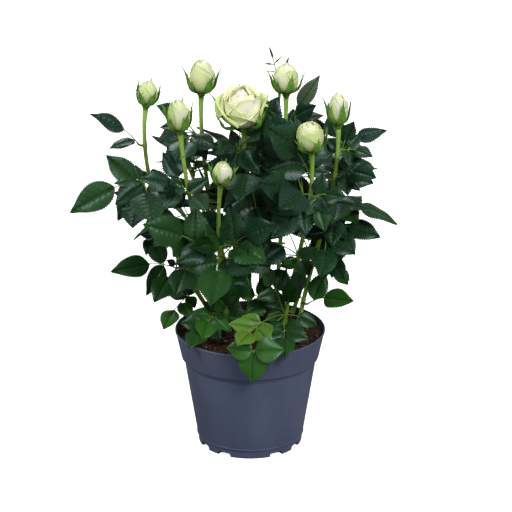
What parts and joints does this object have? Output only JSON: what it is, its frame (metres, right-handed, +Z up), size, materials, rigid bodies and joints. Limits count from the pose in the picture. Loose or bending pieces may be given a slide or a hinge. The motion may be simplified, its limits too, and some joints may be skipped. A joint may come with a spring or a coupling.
{
  "type": "potted rose bush",
  "caption": "Patio rose in a slate grey nursery pot: upright green canes, pale green and cream buds and one open rose over glossy dark pinnate leaves",
  "frame": {"origin": "the middle of the pot's flat underside, on the surface that it stands on", "axes": "+Z up along the pot's axis; -Y the plant's front, the side seen first; +X to the right seen from the front"},
  "size_m": [0.3644, 0.3143, 0.4404],
  "materials": {
    "pot": "satin",
    "soil": "matte",
    "cane": "satin",
    "petals": "satin",
    "leaves": "satin"
  },
  "bodies": {
    "root": {"pot": "pot", "soil": "soil", "cane_1": "cane", "cane_2": "cane", "cane_3": "cane", "cane_4": "cane", "cane_5": "cane", "cane_6": "cane", "cane_7": "cane", "cane_8": "cane", "cane_9": "cane", "cane_10": "cane", "cane_11": "cane", "bloom_1": "petals", "bloom_2": "petals", "bloom_3": "petals", "bloom_4": "petals", "bloom_5": "petals", "bloom_6": "petals", "bloom_7": "petals", "bloom_8": "petals", "leaves_1_a": "leaves", "leaves_1_b": "leaves", "leaves_1_c": "leaves", "leaves_1_d": "leaves", "leaves_1_e": "leaves", "leaves_1_f": "leaves", "leaves_2_a": "leaves", "leaves_2_b": "leaves", "leaves_3_a": "leaves", "leaves_3_b": "leaves", "leaves_3_c": "leaves", "leaves_3_d": "leaves", "leaves_4_a": "leaves", "leaves_4_b": "leaves", "leaves_4_c": "leaves", "leaves_5_a": "leaves", "leaves_5_b": "leaves", "leaves_5_c": "leaves", "leaves_5_d": "leaves", "leaves_6_a": "leaves", "leaves_6_b": "leaves", "leaves_6_c": "leaves", "leaves_6_d": "leaves", "leaves_6_e": "leaves", "leaves_6_f": "leaves", "leaves_7_a": "leaves", "leaves_7_b": "leaves", "leaves_7_c": "leaves", "leaves_7_d": "leaves", "leaves_7_e": "leaves", "leaves_8_a": "leaves", "leaves_8_b": "leaves", "leaves_8_c": "leaves", "leaves_9_a": "leaves", "leaves_9_b": "leaves", "leaves_10_a": "leaves", "leaves_10_b": "leaves", "leaves_11_a": "leaves", "leaves_11_b": "leaves"}
  },
  "joints": []
}
